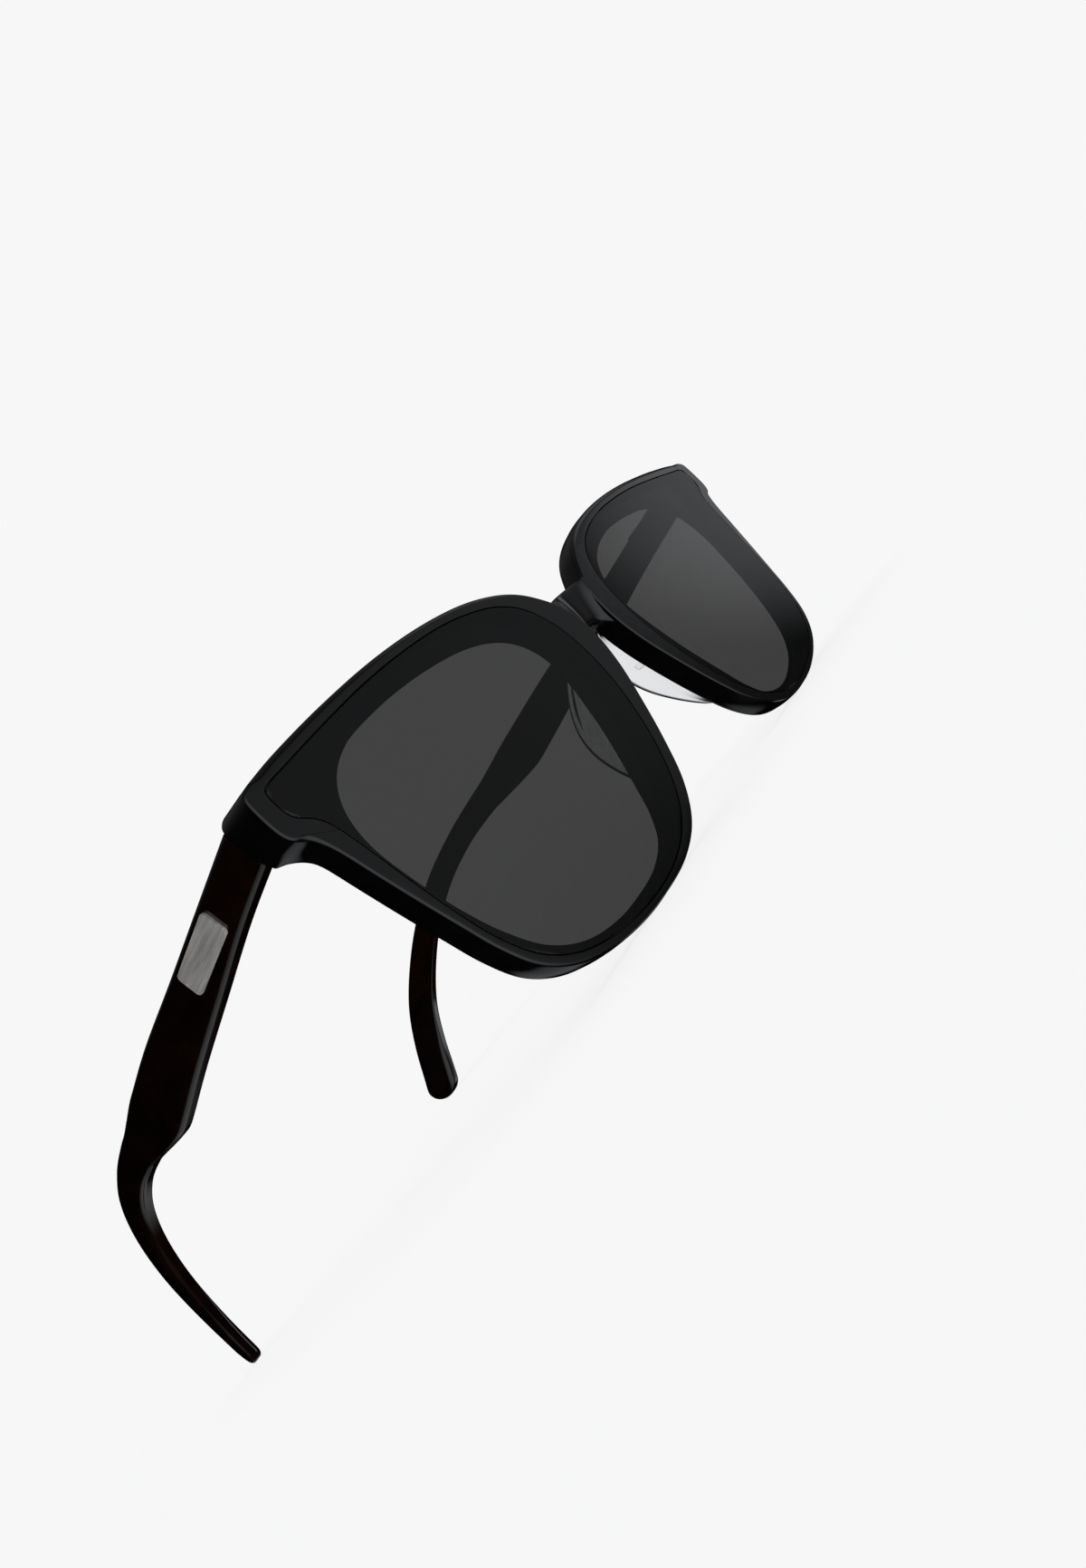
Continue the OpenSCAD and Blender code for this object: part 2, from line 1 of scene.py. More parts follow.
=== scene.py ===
import math
import bpy
import bmesh
import numpy as np
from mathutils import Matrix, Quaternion, Vector


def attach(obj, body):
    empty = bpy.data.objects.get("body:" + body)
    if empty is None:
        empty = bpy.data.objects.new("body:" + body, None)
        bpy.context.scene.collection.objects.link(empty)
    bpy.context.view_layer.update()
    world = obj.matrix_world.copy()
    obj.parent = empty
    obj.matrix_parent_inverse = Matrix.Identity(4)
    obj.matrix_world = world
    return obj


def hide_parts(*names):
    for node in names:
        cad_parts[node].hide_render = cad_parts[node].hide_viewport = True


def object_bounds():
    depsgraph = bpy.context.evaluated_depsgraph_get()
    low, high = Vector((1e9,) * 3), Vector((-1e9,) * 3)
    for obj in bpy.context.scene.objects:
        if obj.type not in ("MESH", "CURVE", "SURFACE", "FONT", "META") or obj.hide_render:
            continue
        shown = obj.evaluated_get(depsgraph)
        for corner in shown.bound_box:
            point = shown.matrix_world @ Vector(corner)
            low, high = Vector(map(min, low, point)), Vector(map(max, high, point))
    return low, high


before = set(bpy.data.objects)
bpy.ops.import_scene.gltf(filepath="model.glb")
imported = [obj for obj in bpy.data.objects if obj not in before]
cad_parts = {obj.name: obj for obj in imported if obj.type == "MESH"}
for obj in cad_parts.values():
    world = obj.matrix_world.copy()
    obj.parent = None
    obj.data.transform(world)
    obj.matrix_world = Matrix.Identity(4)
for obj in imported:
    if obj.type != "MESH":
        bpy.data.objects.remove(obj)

# Square sunglasses. The front, nose pads and temples are smooth shells made from the sizes of
# the part's source. The other pieces are the CAD nodes with their edges broken.

cad_low, cad_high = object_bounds()
scene = bpy.context.scene
scene.view_settings.view_transform = "Standard"

# Sizes of the part's source, in millimetres. Points of a rim are (u, y, w):
# across from the middle of the front, back from its face, and up from its top edge.
MM = 0.001
HALF_W, NOSE_W, RIM_H, RIM_T = 69.9, 7.0, 44.2, 4.0
WRAP, LEAN = math.radians(3), math.radians(6)
BEVEL_W, BEVEL_D = 0.8, 0.7
LENS_T = 2.0
BORDER_NOSE, BORDER_END, BORDER_TOP, BORDER_LOW = 4.9, 2.7, 1.5, 1.0
LEDGE_NOSE, LEDGE_END, LEDGE_TOP, LEDGE_LOW = 5.0, 6.9, 2.7, 1.3
FLARE_NOSE, FLARE_LOW = 2.4, 0.3
BRIDGE_H, BRIDGE_T, BRIDGE_BACK, BRIDGE_DROP = 6.2, 3.3, 0.8, 8.2
BRIDGE_REACH, BRIDGE_FALL, BRIDGE_ARCH = 5.95, 0.4, 2.0
PAD_L, PAD_D, PAD_ROOT, PAD_EDGE = 20.0, 5.6, 2.6, 1.6
PAD_SPLAY, PAD_TOP, PAD_SKEW, PAD_IN = math.radians(28), -0.34 * RIM_H, 0.88, 0.6
ENDPIECE_D, END_TAPER = 6.6, 0.7
TEMPLE_STEP, TEMPLE_T, TIP_T, TEMPLE_REACH = 1.0, 3.6, 2.9, 129.4
TIP_H, TIP_ANGLE = 5.2, math.radians(56)
TOE_LINE, TOE_CURL, BUTT_GAP, TOP_INSET = 15.5, 15.0, 0.1, 0.8
HEIGHTS = (5.2, 8.3, 4.1, 5.2)
AXIS_IN, RELIEF_R = 1.0, 1.7

RIM_W = HALF_W - NOSE_W / 2
LENS_W = RIM_W - BORDER_NOSE - BORDER_END
LENS_H = RIM_H - BORDER_TOP - BORDER_LOW
OPEN_W = LENS_W - LEDGE_NOSE - LEDGE_END
OPEN_H = LENS_H - LEDGE_TOP - LEDGE_LOW
WING_TOP, WING_LOW = -0.070 * RIM_H, -0.230 * RIM_H
RIM_MID = np.array([NOSE_W / 2 + RIM_W / 2, -RIM_H / 2])

# Detail that only the shells have, in millimetres, apart from shares and powers
JOINT_W, JOINT_D = 0.08, 0.12              # chamfer of the rim along the lens
BACK_R, WING_BACK_R, LIP = 0.7, 0.2, 0.3   # rounded back edges, and the opening's own
SIDE_LEAN, UPRIGHT = 0.28, 0.3             # how far the side leans in, from this share on
CRISP = 0.55                               # how much smaller the front edge gets when crisp
LEDGE_STEP = 0.15                          # the ledge's rounded inner edge
FILLET_H, FILLET_BEND = 4.6, 2.2           # hollow fillet below the endpiece
RISE_U, RISE_IN = 66.4, 2.8                # where the back rises, and how far in below
WING_IN, WING_OUT = 66, 68                 # the wing, from no share to all of it
LOWER_START, LOWER_ALL = 8, 14             # below the top edge, where the front edge gets crisp
TAPER_FROM, TAPER_IN, TAPER_OUT = 2.2, 66.8, 69.6   # depth and widths where the taper acts
NOSE_LOW, NOSE_TOP = -39, -5               # heights between which nose_edge is fitted
HOLLOW, HOLLOW_TILT, FLUSH_IN = 1.15, 0.14, 0.4     # the bridge's front, and into the rims
BRIDGE_WAY, BRIDGE_FOOT = 4.6, 1.4         # half the bridge's length, its lower fillets
FOOT_FROM, FOOT_W, FOOT_MOST = 2.0, 2.2, 1.1        # where these fillets start and end
BRIDGE_R_TOP, BRIDGE_R_LOW, BRIDGE_R_BACK = 0.3, 0.8, 0.85
SWEEP_BEND, HOLLOW_BEND, TILT_BEND = 2.4, 2.8, 16   # powers of the share: the higher, the later
SINK, SINK_WITHIN = 0.3, 0.06              # the bridge's front drops behind the rims' faces
PAD_SUNK, PAD_TIP_BEND = 0.2, 10           # into the rim, and how late the pad's ends close
FULLER, FULLER_TIP, TIP_BACK = 0.6, 0.4, 0.27       # added to the bend, the tip, and its end
TEMPLE_R = (0.5, 1.45, 0.6, 0.3)           # edges: outer top and low, inner top and low
TIP_R, CROWN, TINY = 0.95, 0.10, 0.01      # the tip's edges, and the crown of the outer face
FULLER_SPAN, FULLER_TIP_SPAN = (0.38, 0.6), (0.6, 0.95)     # shares of the temple's length
BUTT_SHRINK = (0.2, 0.06, 0)               # the first sections, drawn in at the butt joint
TURN_L, SOFT_FAR, SOFT_NEAR = 4, 18, 2     # lengths at the ends where sections turn and soften

# Outlines as shares of width and height. The temple's rows are the share along it,
# the share of its rise, and the two heights between which its own lies.
RIM_SHARES = [
    (.010, -.230), (.056, -.145), (.107, -.090), (.181, -.048), (.279, -.018), (.413, -.001),
    (.566, 0), (.729, -.015), (.867, -.037), (.947, -.056), (.986, -.070), (1, -.094), (1, -.190),
    (.988, -.230), (.966, -.248), (.951, -.280), (.939, -.325), (.924, -.408), (.903, -.520),
    (.880, -.634), (.855, -.748), (.818, -.846), (.753, -.920), (.662, -.968), (.551, -.995),
    (.430, -.999), (.331, -.984), (.243, -.939), (.168, -.851), (.111, -.733), (.061, -.602),
    (.020, -.473), (0, -.348)]
LENS_SHARES = [
    (.008, -.245), (.046, -.140), (.110, -.074), (.198, -.034), (.318, -.008), (.465, 0),
    (.616, -.006), (.769, -.025), (.905, -.047), (.982, -.061), (1, -.083), (1, -.142),
    (.988, -.172), (.962, -.200), (.943, -.247), (.930, -.330), (.915, -.455), (.896, -.592),
    (.870, -.722), (.827, -.833), (.758, -.912), (.663, -.963), (.547, -.992), (.425, -1),
    (.317, -.982), (.225, -.936), (.148, -.853), (.087, -.742), (.043, -.623), (.013, -.500),
    (0, -.370)]
OPEN_SHARES = [
    (0, -.290), (.008, -.215), (.036, -.150), (.080, -.100), (.145, -.060), (.240, -.028),
    (.350, -.010), (.490, 0), (.640, -.004), (.790, -.026), (.905, -.082), (.975, -.175),
    (1, -.300), (.985, -.450), (.952, -.610), (.905, -.750), (.838, -.868), (.735, -.950),
    (.600, -.992), (.470, -1), (.350, -.991), (.250, -.948), (.186, -.868), (.142, -.770),
    (.105, -.680), (.072, -.595), (.043, -.500), (.015, -.390)]
TEMPLE_SHARES = [
    (0, 1, 0, 0), (.1, .979, 0, .10), (.22, .955, 0, .43), (.34, .937, 0, .80), (.43, .914, 0, 1),
    (.465, .902, 1, .02), (.5, .884, 1, .26), (.535, .867, 1, .56), (.57, .856, 1, .78),
    (.64, .828, 1, .97), (.715, .776, 2, 0), (.785, .684, 2, .08), (.85, .558, 2, .28),
    (.91, .4, 2, .55), (.958, .212, 2, .8), (1, 0, 2, 1)]

# Points round a rim, steps between two shares, and the ripples taken out of the outer edge
POINTS, CURVE_STEPS, CALM_REACH = 560, 14, 0.45
SIDES = (("left", 1), ("right", -1))


# Curves
def spline(points, steps, closed=True):
    """The source's smooth curve through points, with that many steps on each stretch."""
    p = np.array(points, float)
    if closed:
        a, b, c, d = (np.roll(p, k, 0)[:, None] for k in (1, 0, -1, -2))
    else:
        q = np.concatenate([[2 * p[0] - p[1]], p, [2 * p[-1] - p[-2]]])
        a, b, c, d = (x[:, None] for x in (q[:-3], q[1:-2], q[2:-1], q[3:]))
    t = (np.arange(steps) / steps)[None, :, None]
    square, cube = 2 * a - 5 * b + 4 * c - d, 3 * b - a - 3 * c + d
    line = 0.5 * (2 * b + (c - a) * t + square * t ** 2 + cube * t ** 3)
    line = line.reshape(-1, p.shape[1])
    return line if closed else np.concatenate([line, p[-1:]])


def lengths(line):
    """The length along a line at each of its points."""
    return np.concatenate([[0], np.cumsum(np.linalg.norm(np.diff(line[:, :2], axis=0), axis=1))])


def even(line, count):
    """A closed line with count points spaced evenly along it."""
    loop = np.concatenate([line, line[:1]])
    run = lengths(loop)
    want = np.arange(count) * run[-1] / count
    return np.stack([np.interp(want, run, loop[:, k]) for k in range(line.shape[1])], 1)


def calmed(line, reach):
    """An evenly spaced closed line without its ripples shorter than reach millimetres."""
    step = lengths(line)[-1] / (len(line) - 1)
    wave = np.fft.fftfreq(len(line))
    keep = np.exp(-0.5 * (2 * math.pi * wave * reach / step) ** 2)
    return np.stack([np.fft.ifft(np.fft.fft(line[:, k]) * keep).real for k in (0, 1)], 1)


def inset(line, d):
    """A closed line moved inward along its own normals by d, a number or one for each point."""
    run = np.roll(line, -1, 0) - np.roll(line, 1, 0)
    normal = np.stack([run[:, 1], -run[:, 0]], 1) / np.linalg.norm(run, axis=1)[:, None]
    return line + normal * np.reshape(d, (-1, 1))


def outline(shares, w, h, x0, y0):
    """The smooth closed line through shares of a width and height, from a corner."""
    return spline(np.array(shares) * [w, h] + [x0, y0], CURVE_STEPS)


def turns(line):
    """The angle of each point round the rim's middle."""
    return np.unwrap(np.arctan2(line[:, 1] - RIM_MID[1], line[:, 0] - RIM_MID[0]))


def at_turns(line, want):
    """The points of a closed clockwise line at these angles round the rim's middle."""
    turn, r = turns(line)[::-1], np.linalg.norm(line - RIM_MID, axis=1)[::-1]
    turn = np.maximum.accumulate(turn)
    full = 2 * math.pi
    around = (want - turn[0]) % full + turn[0]
    r = np.interp(around, np.append(turn, turn[0] + full), np.append(r, r[0]))
    return RIM_MID + r[:, None] * np.stack([np.cos(want), np.sin(want)], 1)


def step_up(x, low, high):
    """Smoothly from 0 to 1 as x goes from low to high."""
    t = np.clip((x - low) / (high - low), 0, 1)
    return t * t * (3 - 2 * t)


def rounded(r, angle):
    """How far a round edge of radius r has fallen away at an angle."""
    return r * (1 - math.cos(angle)), r * (1 - math.sin(angle))


def placed(u, y, w):
    """A point of the left rim in the model's frame, in millimetres."""
    back = u * math.sin(WRAP) + y * math.cos(WRAP)
    return np.stack([u * math.cos(WRAP) - y * math.sin(WRAP),
                     back * math.cos(LEAN) - w * math.sin(LEAN) - mid_y,
                     back * math.sin(LEAN) + w * math.cos(LEAN) + rest_z], -1)


def leaning(x, y, w):
    """A point of the bridge, which leans but isn't swept back."""
    return np.stack([x, y * math.cos(LEAN) - w * math.sin(LEAN) - mid_y,
                     y * math.sin(LEAN) + w * math.cos(LEAN) + rest_z], -1)


# The rim's outline, and where the part's frame lies: level with the floor and the CAD's front
mid_y = rest_z = 0.0
outer = calmed(even(outline(RIM_SHARES, RIM_W, RIM_H, NOSE_W / 2, 0), POINTS), CALM_REACH)
rest_z = -placed(outer[:, 0], BEVEL_D, outer[:, 1])[:, 2].min()
front_ring = inset(outer, BEVEL_W)
mid_y = placed(front_ring[:, 0], 0, front_ring[:, 1])[:, 1].min() - cad_low.y / MM
butt_y = placed(np.array(HALF_W), 0, np.array(WING_TOP))[1] + ENDPIECE_D


# Meshes
SHELL_WELD, NODE_WELD = 2e-7, 1e-6         # metres


def piece(name, parts, body, node, sharp=35):
    """A smooth object from shells of points and faces, riding on a body in place of a CAD node."""
    mesh = bpy.data.meshes.new(name)
    points, faces, start = [], [], 0
    for p, f in parts:
        points.append(np.asarray(p) * MM)
        faces += [[start + k for k in face] for face in f]
        start += len(p)
    mesh.from_pydata(np.concatenate(points).tolist(), [], faces)
    bm = bmesh.new()
    bm.from_mesh(mesh)
    bmesh.ops.remove_doubles(bm, verts=bm.verts, dist=SHELL_WELD)
    bmesh.ops.recalc_face_normals(bm, faces=bm.faces)
    bm.to_mesh(mesh)
    bm.free()
    mesh.shade_smooth()
    mesh.set_sharp_from_angle(angle=math.radians(sharp))
    obj = bpy.data.objects.new(name, mesh)
    scene.collection.objects.link(obj)
    shade_evenly(obj)
    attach(obj, body)
    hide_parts(node)
    return obj


def shade_evenly(obj):
    """Shades smooth faces by their size, and keeps the sharp edges."""
    shade = obj.modifiers.new("even_shading", "WEIGHTED_NORMAL")
    shade.keep_sharp = True


def shell(rings, around=True):
    """Rings of points joined into a closed shell, round to the first ring or capped at the ends."""
    n, m = len(rings[0]), len(rings)
    pairs = [(j * n, (j + 1) * n) for j in range(m - 1)]
    if around:
        pairs.append(((m - 1) * n, 0))
    faces = [(a + i, a + (i + 1) % n, b + (i + 1) % n, b + i) for a, b in pairs for i in range(n)]
    if not around:
        faces += [tuple(range(n)), tuple((m - 1) * n + i for i in range(n))]
    return np.concatenate(rings), faces


def mirrored(part, side):
    """A shell as it is for side 1, or mirrored for side -1."""
    points, faces = part
    return np.asarray(points) * [side, 1, 1], faces


# Front: two rims with their endpieces, and the bridge
def butt_depth(u, w):
    """Depth of the butt joint's plane behind the rim's face."""
    level = (butt_y + mid_y + w * math.sin(LEAN)) / math.cos(LEAN)
    return (level - u * math.sin(WRAP)) / math.cos(WRAP)


def back_depth(u, w):
    """Depth of the rim's back: flat, raised to the butt joint behind the wing, filleted below."""
    below = np.clip((WING_LOW - w) / FILLET_H, 0, 1)
    height = (butt_depth(u, w) - RIM_T) * (1 - below) ** FILLET_BEND
    edge = RISE_U - RISE_IN * step_up(WING_LOW - w, -0.4, 2.6)
    soft = 0.5 + 0.9 * step_up(WING_LOW - w, 0, 3)
    rise = step_up(u, edge - soft, edge + soft) * step_up(w, WING_LOW - FILLET_H, WING_LOW - 0.3)
    return RIM_T + height * rise


def tapered(u, y, w):
    """The endpiece's side, which runs inward a little towards the butt joint."""
    reach = np.clip((y - TAPER_FROM) / (butt_depth(u, w) - TAPER_FROM), 0, 1)
    on_wing = step_up(u, TAPER_IN, TAPER_OUT) * step_up(w, WING_LOW - 1.0, WING_LOW + 0.2)
    return u - END_TAPER * reach * on_wing


def rim_rings():
    """Rings round the left rim's section, from the lens over the front, side and back to it."""
    turn = np.minimum.accumulate(turns(outer) - 1e-6 * np.arange(POINTS))
    x0, top = NOSE_W / 2 + BORDER_NOSE, -BORDER_TOP
    ledge_x, ledge_top = x0 + LEDGE_NOSE, top - LEDGE_TOP
    flare_w, flare_h = OPEN_W + FLARE_NOSE, OPEN_H + FLARE_LOW
    hole = at_turns(outline(LENS_SHARES, LENS_W, LENS_H, x0, top), turn)
    opening = at_turns(outline(OPEN_SHARES, OPEN_W, OPEN_H, ledge_x, ledge_top), turn)
    flare = at_turns(outline(OPEN_SHARES, flare_w, flare_h, ledge_x - FLARE_NOSE, ledge_top), turn)
    rings = []

    def add(line, y):
        rings.append(placed(tapered(line[:, 0], y, line[:, 1]), y * np.ones(POINTS), line[:, 1]))

    # Front face, from the lens to the rounded front edge, crisper on the wing and lower down
    add(inset(hole, -JOINT_W), 0.0)
    wing = step_up(outer[:, 1], WING_LOW - 1, WING_LOW) * step_up(outer[:, 0], WING_IN, WING_OUT)
    crisp = 1 - CRISP * np.maximum(wing, step_up(-outer[:, 1], LOWER_START, LOWER_ALL))
    for a in np.linspace(math.pi / 2, 0, 9):
        add(inset(outer, crisp * rounded(BEVEL_W, a)[0]), crisp * rounded(BEVEL_D, a)[1])
    # Outer side and its rounded back edge
    radius = BACK_R - (BACK_R - WING_BACK_R) * wing
    edge = inset(outer, radius)
    depth = back_depth(edge[:, 0], edge[:, 1])
    lean_in = SIDE_LEAN * (1 - wing)
    start = crisp * BEVEL_D
    for share in (0.15, 0.3, 0.45, 0.6, 0.75, 0.9, 1):
        lean = lean_in * (max(share - UPRIGHT, 0) / (1 - UPRIGHT)) ** 2
        add(inset(outer, lean), start + share * (depth - radius - start))
    for a in np.linspace(0, math.pi / 2, 7)[1:]:
        side, back = rounded(1, a)
        add(inset(outer, lean_in + (radius - lean_in) * side), depth - radius * back)
    # Back, down to the opening's rounded back edge
    low = inset(flare, -LIP)
    steps = [0.02, 0.04] + list(np.arange(0.06, 0.48, 0.018)) + [0.52, 0.58, 0.66, 0.76, 0.88, 1]
    for f in steps:
        line = edge + (low - edge) * f
        add(line, back_depth(line[:, 0], line[:, 1]))
    for a in np.linspace(0, math.pi / 2, 5)[1:]:
        back, side = rounded(LIP, a)
        add(inset(flare, -side), RIM_T - back)
    # Opening, ledge and the wall round the lens
    ledge = LENS_T + LEDGE_STEP
    for f in (0.33, 0.66):
        add(flare + (opening - flare) * f, RIM_T - LIP + (ledge - RIM_T + LIP) * f)
    add(opening, ledge)
    add(inset(opening, -LEDGE_STEP), LENS_T)
    add(hole, LENS_T)
    add(hole, JOINT_D)
    return rings


# The rims' nose edge as a curve of u over w
nose_side = outer[(outer[:, 0] < RIM_MID[0]) & (outer[:, 1] > NOSE_LOW) & (outer[:, 1] < NOSE_TOP)]
nose_edge = np.poly1d(np.polyfit(nose_side[:, 1], nose_side[:, 0], 7))


def bridge_front(share, w):
    """Depth of the bridge's front at a share of the way to a rim: hollow, tilted down a little."""
    share = abs(share)
    inside, past = min(share, 1), max(share - 1, 0)
    above = np.clip(w + BRIDGE_DROP + BRIDGE_H / 2, -3, 3)
    tilt = HOLLOW_TILT * above * (1 - inside ** TILT_BEND)
    hollow = HOLLOW * (1 - inside ** HOLLOW_BEND) - tilt
    swept = share * BRIDGE_WAY * math.tan(WRAP) * inside ** SWEEP_BEND
    return hollow + swept + SINK * step_up(past, 0, SINK_WITHIN)


def bridge_rings():
    """Rounded oblong sections of the bridge from rim to rim, which follow the rims' edges."""
    rings = []
    back = BRIDGE_BACK + BRIDGE_T
    quarter = np.linspace(0, math.pi / 2, 9)
    near_rim, inside_rim = [0.985, 1, 1.02, 1.04, 1.06], np.linspace(1.1, 1.5, 8)
    half = np.concatenate([np.linspace(0, 0.97, 42), near_rim, inside_rim])
    for share in np.concatenate([-half[:0:-1], half]):
        x = share * BRIDGE_WAY
        arch = (x / BRIDGE_REACH) ** 2
        foot = BRIDGE_FOOT * min(max((abs(x) - FOOT_FROM) / FOOT_W, 0), FOOT_MOST) ** 3
        top = -BRIDGE_DROP - BRIDGE_FALL * arch
        low = -BRIDGE_DROP - BRIDGE_H - BRIDGE_ARCH * arch - foot
        loop = []
        for a in quarter[::-1]:
            behind, below = rounded(BRIDGE_R_TOP, a)
            loop.append((bridge_front(share, top - below) + behind, top - below))
        for w in np.linspace(top - BRIDGE_R_TOP, low + BRIDGE_R_LOW, 14)[1:-1]:
            loop.append((bridge_front(share, w), w))
        for a in quarter:
            behind, above = rounded(BRIDGE_R_LOW, a)
            loop.append((bridge_front(share, low + above) + behind, low + above))
        for way, w in ((-1, low + BRIDGE_R_BACK), (1, top - BRIDGE_R_BACK)):
            for a in np.linspace(0, math.pi / 2, 8)[::way]:
                ahead = rounded(BRIDGE_R_BACK, a)[0]
                loop.append((back - ahead, w + way * BRIDGE_R_BACK * math.sin(a)))
        y, w = np.array(loop).T
        rings.append(leaning(share * (nose_edge(w) + FLUSH_IN), y, w))
    return rings


rim = shell(rim_rings())
front = piece("front_shell", [rim, mirrored(rim, -1), shell(bridge_rings(), around=False)],
              "front", "front_frame")


# Nose pads: clear crescents on the backs of the rims
def pad_shell():
    """The left pad: sections with straight sides that bend into a round free edge."""
    rings = []
    sunk = RIM_T - PAD_SUNK
    v = np.linspace(0, 1, 12)
    ends = [0, .004, .012], [.988, .996, 1]
    for s in np.concatenate([ends[0], np.linspace(.025, .975, 60), ends[1]]):
        w = PAD_TOP - s * PAD_L
        close = max(1 - (2 * s - 1) ** PAD_TIP_BEND, 0) ** 0.5
        deep = PAD_D * (0.16 * close + 0.84 * math.sin(math.pi * s ** PAD_SKEW))
        root = PAD_ROOT * (0.55 + 0.45 * close)
        edge = PAD_EDGE * (0.6 + 0.4 * close)
        u = nose_edge(w) + PAD_IN + (PAD_ROOT - root) / 2
        lean = deep * math.tan(PAD_SPLAY)
        thick = root + (edge - root) * step_up(v, -0.2, 1.0)
        r = min(edge / 2, deep * 0.45)
        top = RIM_T + deep - r
        near = [(u + lean * k, sunk + (top - sunk) * k) for k in v]
        far = [(x + t, y) for (x, y), t in zip(near, thick)]
        mid = u + lean + edge / 2
        cap = [(mid - edge / 2 * math.cos(a), top + r * math.sin(a))
               for a in np.linspace(0, math.pi, 13)[1:-1]]
        loop = np.array(near + cap + far[::-1])
        rings.append(placed(loop[:, 0], loop[:, 1], np.full(len(loop), w)))
    return shell(rings, around=False)


pad = pad_shell()
pads = [piece(f"{word}_pad_soft", [mirrored(pad, side)],
              "front", f"{word}_nose_pad", sharp=60) for word, side in SIDES]

# Temples: rounded bars along the source's top edge
temple_x = HALF_W - TEMPLE_STEP
temple_y = butt_y + mid_y + BUTT_GAP
temple_z = placed(np.array(HALF_W), ENDPIECE_D, np.array(WING_TOP))[2] - TOP_INSET
tip_z = TIP_H / 2 * (1 + math.cos(TIP_ANGLE))
tip_up = np.array([math.sin(TIP_ANGLE), math.cos(TIP_ANGLE)])
tip_ahead = np.array([math.cos(TIP_ANGLE), -math.sin(TIP_ANGLE)])


def face_x(y):
    """Where the temple's outer face lies: it toes in, more so towards the tip."""
    s = (y - temple_y) / TEMPLE_REACH
    return temple_x - TOE_LINE * s - TOE_CURL * s ** 3


def thickness(y):
    return TEMPLE_T + (TIP_T - TEMPLE_T) * (y - temple_y) / TEMPLE_REACH


def drop(e, r):
    """How far a rounded face lies in at the distance e from its edge."""
    return r - np.sqrt(np.maximum(r ** 2 - (r - np.minimum(e, r)) ** 2, 0))


def temple_section(mid, up, half, shrink, soft, cap=0.0):
    """One closed section of the left temple.

    mid and up are in the side view and half is half the height. shrink draws the section in
    at the butt joint, soft rounds it towards the tip, and cap is how far past the tip's middle
    it lies.
    """
    radii = [r + (TIP_R - r) * soft for r in TEMPLE_R]
    if not cap:
        radii = [min(r, half + 1e-4) for r in radii]
    full = math.hypot(half, cap)
    quarter = 1 - np.cos(np.linspace(0, math.pi / 2, 8))
    loop = []
    for inner, (r_top, r_low) in enumerate((radii[:2], radii[2:])):
        fit = min(1, half / max(r_top, r_low))
        middle = np.linspace(half - r_top * fit, -half + r_low * fit, 7)[1:-1]
        heights = [half - r_top * quarter * fit, middle, (-half + r_low * quarter * fit)[::-1]]
        face = []
        for a in np.concatenate(heights):
            fall = drop(full - math.hypot(a, cap), r_top if a > 0 else r_low)
            if not inner:
                fall += CROWN * (a / max(half, TINY)) ** 2 * (1 - soft)
            place = mid + up * a
            t = thickness(place[0])
            depth = shrink + (t - fall if inner else fall) * (1 - 2 * shrink / t)
            y, z = mid + (place - mid) * (1 - shrink / max(half, TINY))
            face.append((face_x(y) - depth, y - mid_y, z))
        loop += face[::-1] if inner else face
    loop = np.array(loop)
    # Room for the hinge's knuckles, hollowed out of the inner face round the hinge's axis
    past_axis = loop[:, 1] - (temple_y - mid_y)
    round_axis = np.sqrt(np.maximum(RELIEF_R ** 2 - past_axis ** 2, 0))
    room = temple_x - TEMPLE_T - AXIS_IN + round_axis
    loop[:, 0] = np.where(past_axis < RELIEF_R, np.maximum(loop[:, 0], room), loop[:, 0])
    return loop


def temple_rings():
    """Sections along the left temple, square to its top edge, and round its tip."""
    rows = []
    for s, v, k, mix in TEMPLE_SHARES:
        height = HEIGHTS[k] + mix * (HEIGHTS[k + 1] - HEIGHTS[k])
        rows.append((temple_y + s * TEMPLE_REACH, tip_z + v * (temple_z - tip_z), height))
    line = spline(rows, 20, closed=False)
    run = lengths(line)
    whole = run[-1]
    at = np.concatenate([[0, 0.07], np.arange(0.2, 2.2, 0.1), np.arange(2.4, whole - 0.4, 0.7),
                         [whole]])
    line = np.stack([np.interp(at, run, line[:, k]) for k in range(3)], 1)
    along = np.gradient(line[:, :2], at, axis=0)
    normal = np.stack([-along[:, 1], along[:, 0]], 1)
    normal /= np.linalg.norm(normal, axis=1)[:, None]
    start = step_up(at, 0, TURN_L)[:, None]
    end = step_up(at, whole - TURN_L, whole)[:, None]
    normal = normal * start + np.array([0, 1]) * (1 - start)
    normal = normal * (1 - end) + tip_up * end
    normal /= np.linalg.norm(normal, axis=1)[:, None]
    # A little fuller on the upper side behind the step, as in the photo
    part = at / whole
    fuller = FULLER * step_up(part, *FULLER_SPAN) + FULLER_TIP * step_up(part, *FULLER_TIP_SPAN)
    line[:, :2] += normal * fuller[:, None] - tip_ahead * TIP_BACK * fuller[-1] * end
    line[:, 2] += fuller
    rings = []
    for i, (y, z, h) in enumerate(line):
        soft = step_up(at[i], whole - SOFT_FAR, whole - SOFT_NEAR)
        shrink = BUTT_SHRINK[min(i, 2)]
        mid = np.array([y, z]) - normal[i] * h / 2
        rings.append(temple_section(mid, normal[i], h / 2, shrink, soft))
    r = line[-1, 2] / 2
    middle = line[-1, :2] - normal[-1] * r
    for a in np.linspace(0, math.pi / 2, 15)[1:]:
        past = r * math.sin(a)
        rings.append(temple_section(middle + tip_ahead * past, normal[-1], r * math.cos(a),
                                    0, 1.0, past))
    return rings


bar = shell(temple_rings(), around=False)
temples = [piece(f"{word}_temple_bar", [mirrored(bar, side)],
                 f"{word}_temple_body", f"{word}_temple")
           for word, side in SIDES]


